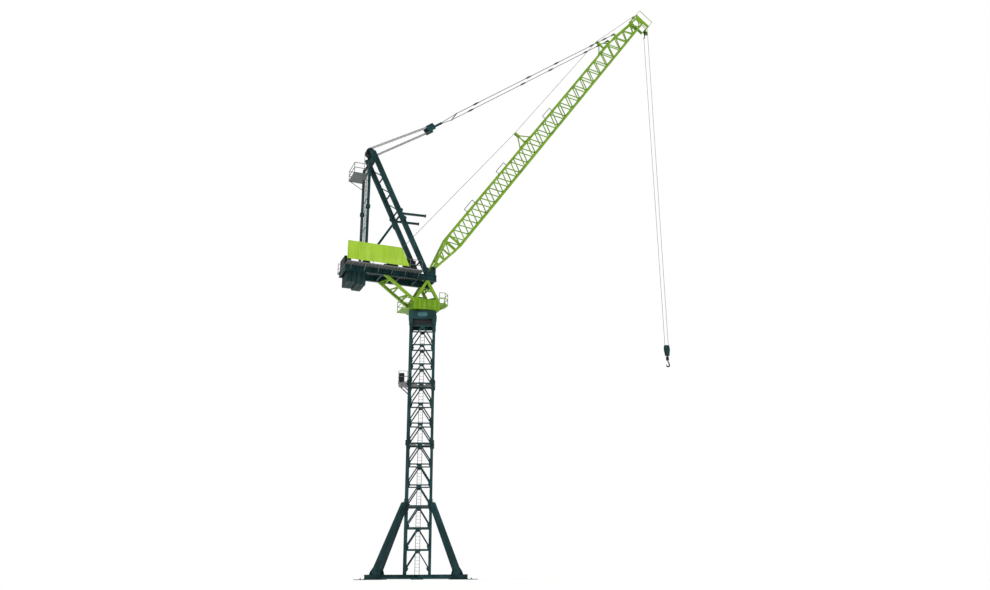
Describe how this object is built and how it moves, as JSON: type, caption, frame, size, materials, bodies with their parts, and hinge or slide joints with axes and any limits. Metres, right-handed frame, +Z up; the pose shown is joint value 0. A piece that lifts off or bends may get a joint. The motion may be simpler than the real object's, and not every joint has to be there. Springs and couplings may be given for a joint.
{
  "type": "luffing-jib tower crane, 1:2 scale model",
  "caption": "Lattice mast on a cross base carries a slewing deck, an A-frame and a luffing lattice jib held by pendants, with a hoist rope and hook block.",
  "frame": {"origin": "on the ground under the mast axis, at the middle of the centre base plate's underside", "axes": "+Z up, +X level along the jib from the mast, +Y to the far side, left of someone looking out along the jib"},
  "size_m": [18.6603, 6.4688, 33.7729],
  "materials": {
    "green_paint": "semi-gloss paint",
    "teal_paint": "semi-gloss paint",
    "lime_panel": "satin paint",
    "wire_rope": "greased wire rope",
    "dark_steel": "dark grease and paint",
    "galvanised": "galvanised steel",
    "concrete_weight": "painted ballast slab"
  },
  "bodies": {
    "mast_and_base": {"base_girder_long": "teal_paint", "base_girders_short": "teal_paint", "base_plates": "teal_paint", "base_ties": "teal_paint", "knee_struts": "teal_paint", "mast_legs": "teal_paint", "mast_lattice": "teal_paint", "mast_platforms": "galvanised", "switch_cabinet": "dark_steel", "mast_ladders": "galvanised", "slewing_support": "teal_paint", "slewing_ring": "dark_steel"},
    "slewing_platform": {"turntable": "green_paint", "access_platforms": "green_paint", "guard_rails": "green_paint", "slewing_tower": "green_paint", "rear_struts": "green_paint", "tower_ties": "green_paint", "deck_girders": "teal_paint", "deck_cross_beams": "teal_paint", "deck_floors": "galvanised", "side_panel": "lime_panel", "counterweights": "concrete_weight", "winches": "dark_steel", "luffing_lead_rope": "wire_rope", "deck_cabinets": "dark_steel", "a_frame_front_legs": "teal_paint", "a_frame_rear_legs": "teal_paint", "a_frame_braces": "teal_paint", "backstops": "teal_paint", "a_frame_ties": "teal_paint", "a_frame_ladder": "teal_paint", "a_frame_head": "teal_paint", "jib_foot_brackets": "teal_paint"},
    "jib": {"jib_root": "green_paint", "jib_sides": "green_paint", "jib_lacing": "green_paint", "rope_posts": "green_paint", "jib_head": "green_paint", "hoist_rope_on_jib": "wire_rope"},
    "luffing_guide": {"head_sheaves": "dark_steel", "luffing_falls": "wire_rope"},
    "floating_block": {"luffing_block": "teal_paint"},
    "pendant_set": {"pendant_bridle": "wire_rope", "pendants": "wire_rope"},
    "winding_drum": {"hoist_drum": "dark_steel", "hoist_rope_drum_end": "wire_rope"},
    "running_rope": {"hoist_rope_to_post": "wire_rope"},
    "hook_hanger": {"rope_anchor": "dark_steel", "hook_falls": "wire_rope"},
    "lower_block": {"hook_block": "teal_paint"},
    "load_hook": {"hook": "dark_steel"}
  },
  "joints": [
    {"name": "slew", "type": "hinge", "parent": "mast_and_base", "child": "slewing_platform", "pos_m": [0, 0, 12.485], "axis": [0, 0, 1], "continuous": true},
    {"name": "luff", "type": "hinge", "parent": "slewing_platform", "child": "jib", "pos_m": [0.3, 0, 14.705], "axis": [0, -1, 0], "range_deg": [-34.5, 29.5]},
    {"name": "falls_swing", "type": "hinge", "parent": "slewing_platform", "child": "luffing_guide", "pos_m": [-3.025, 0, 20.74], "axis": [0, -1, 0], "range_deg": [-20.18, 17.3]},
    {"name": "block_travel", "type": "slide", "parent": "luffing_guide", "child": "floating_block", "axis": [0.8394, 0, 0.5436], "range_m": [-3.261, 3.808], "deforming": ["luffing_falls"]},
    {"name": "pendant_swing", "type": "hinge", "parent": "jib", "child": "pendant_set", "pos_m": [11.66192, 0, 31.50791], "axis": [0, -1, 0], "range_deg": [-4.6, 3.96]},
    {"name": "drum_swing", "type": "hinge", "parent": "slewing_platform", "child": "winding_drum", "pos_m": [-1.725, 0, 14.79], "axis": [0, -1, 0], "range_deg": [-30.94, 26.5]},
    {"name": "rope_travel", "type": "slide", "parent": "winding_drum", "child": "running_rope", "axis": [0.6287, 0, 0.7777], "range_m": [-0.812, 0.947], "deforming": ["hoist_rope_drum_end"]},
    {"name": "hang", "type": "hinge", "parent": "jib", "child": "hook_hanger", "pos_m": [14.22099, 0, 32.49348], "axis": [0, -1, 0], "range_deg": [-29.8, 34.8]},
    {"name": "hook_hoist", "type": "slide", "parent": "hook_hanger", "child": "lower_block", "axis": [0, 0, -1], "range_m": [-18, 10.8], "deforming": ["hook_falls"]},
    {"name": "hook_swivel", "type": "hinge", "parent": "lower_block", "child": "load_hook", "pos_m": [14.22099, 0, 12.06848], "axis": [0, 0, 1], "continuous": true}
  ],
  "couplings": [
    {"joint": "falls_swing", "follows": "luff", "ratio": 0.57628},
    {"joint": "block_travel", "follows": "luff", "m_per_rad": -6.275},
    {"joint": "pendant_swing", "follows": "luff", "ratio": 0.12744},
    {"joint": "drum_swing", "follows": "luff", "ratio": 0.88811},
    {"joint": "rope_travel", "follows": "luff", "m_per_rad": -1.5568},
    {"joint": "hang", "follows": "luff", "ratio": -1}
  ]
}
